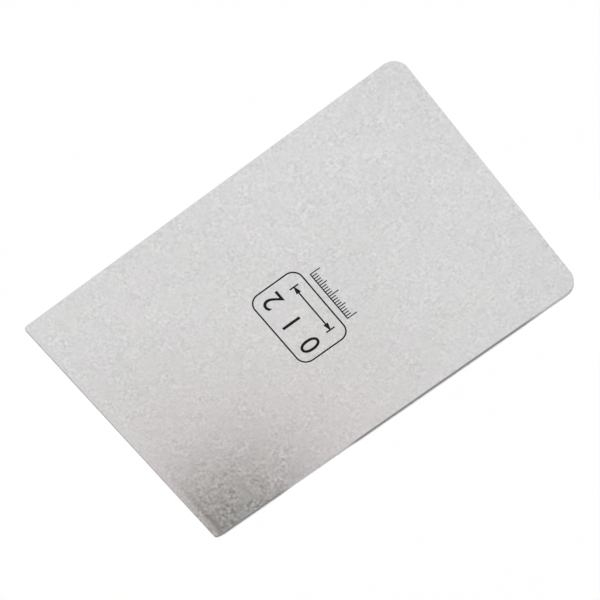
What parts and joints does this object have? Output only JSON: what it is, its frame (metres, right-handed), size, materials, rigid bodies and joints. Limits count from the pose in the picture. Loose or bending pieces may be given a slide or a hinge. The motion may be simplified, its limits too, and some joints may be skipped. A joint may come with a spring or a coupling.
{
  "type": "japanese spatula",
  "caption": "Flat handle-less spatula: a thin springy steel sheet with a honed straight working edge, square front corners, round rear corners and a small printed scale.",
  "frame": {"origin": "middle of the underside of the sheet", "axes": "+X across the width, +Y from the working edge towards the rear, +Z out of the printed face"},
  "size_m": [0.1, 0.15, 0.0005],
  "materials": {
    "steel": "satin, fine even grain",
    "ink": "thin matt print"
  },
  "bodies": {
    "root": {"blade": "steel", "mark_frame": "ink", "mark_arrow": "ink", "mark_figure_0": "ink", "mark_figure_1": "ink", "mark_figure_2": "ink", "mark_scale": "ink"}
  },
  "joints": []
}
